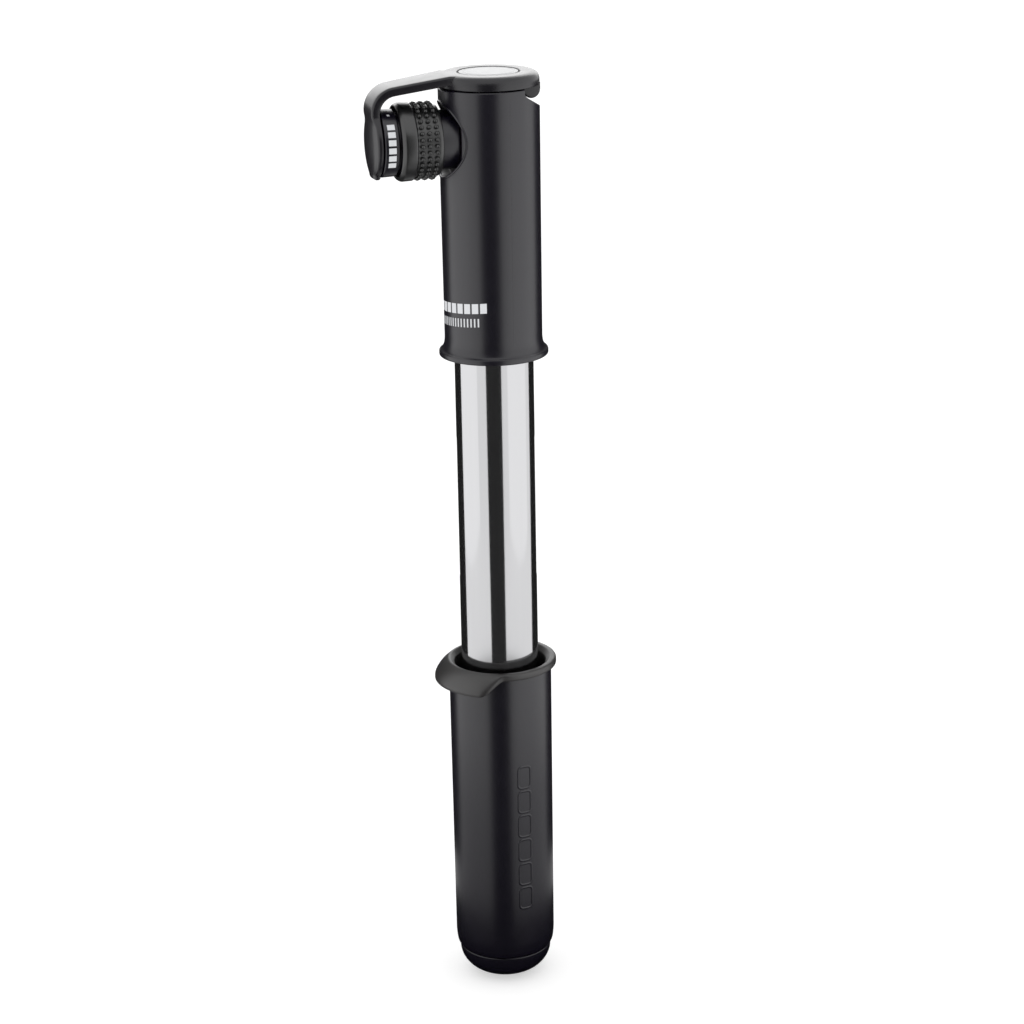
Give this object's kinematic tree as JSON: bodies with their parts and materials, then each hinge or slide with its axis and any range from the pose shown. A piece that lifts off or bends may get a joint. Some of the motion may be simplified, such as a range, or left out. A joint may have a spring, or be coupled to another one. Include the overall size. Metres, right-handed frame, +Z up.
{
  "type": "mini pump",
  "caption": "Slim bicycle hand pump, drawn out: black head with side valve connector and flip cover, polished barrel, black sliding handle with thumb lobe.",
  "frame": {"origin": "centre of the flat foot of the end cap", "axes": "+Z up the pump's axis from the end cap to the head; the valve connector points along -X"},
  "size_m": [0.0508, 0.0332, 0.271],
  "materials": {
    "moulded_black": "satin moulded, fine texture",
    "cover_black": "satin, slightly soft",
    "polished_aluminium": "polished",
    "satin_aluminium": "satin",
    "badge_silver": "brushed",
    "anodised_black": "satin black",
    "steel": "satin",
    "rubber": "matt",
    "nylon": "natural"
  },
  "bodies": {
    "handle": {"handle_sleeve": "moulded_black", "handle_collar": "moulded_black", "end_cap": "moulded_black", "bumper_washer": "rubber", "piston_rod": "satin_aluminium", "piston": "nylon", "piston_seal": "rubber", "piston_screw": "steel"},
    "barrel": {"cylinder_tube": "polished_aluminium", "rod_bush": "nylon", "rebound_washer": "rubber", "head_housing": "moulded_black", "tube_seal": "rubber", "tube_gasket": "rubber", "valve_block": "nylon", "check_seat": "rubber", "check_spring": "steel", "hinge_pin": "steel", "valve_neck": "anodised_black", "neck_seal": "rubber", "sleeve_ring": "rubber", "label_ring": "anodised_black", "valve_gasket": "rubber"},
    "cover": {"dust_cover": "cover_black", "cover_badge": "badge_silver"},
    "sleeve": {"knurled_sleeve": "anodised_black"},
    "check_valve": {"check_poppet": "nylon"}
  },
  "joints": [
    {"name": "barrel_slide", "type": "slide", "parent": "handle", "child": "barrel", "axis": [0, 0, -1], "range_m": [0, 0.091]},
    {"name": "cover_hinge", "type": "hinge", "parent": "barrel", "child": "cover", "pos_m": [0.0105, 0, 0.2662], "axis": [0, 1, 0], "range_deg": [0, 90]},
    {"name": "sleeve_slide", "type": "slide", "parent": "barrel", "child": "sleeve", "axis": [-1, 0, 0], "range_m": [0, 0.003]},
    {"name": "check_valve_lift", "type": "slide", "parent": "barrel", "child": "check_valve", "axis": [0, 0, 1], "range_m": [0, 0.0015], "stiffness_N_per_m": 60, "springref_m": -0.003, "deforming": ["check_spring"]}
  ]
}
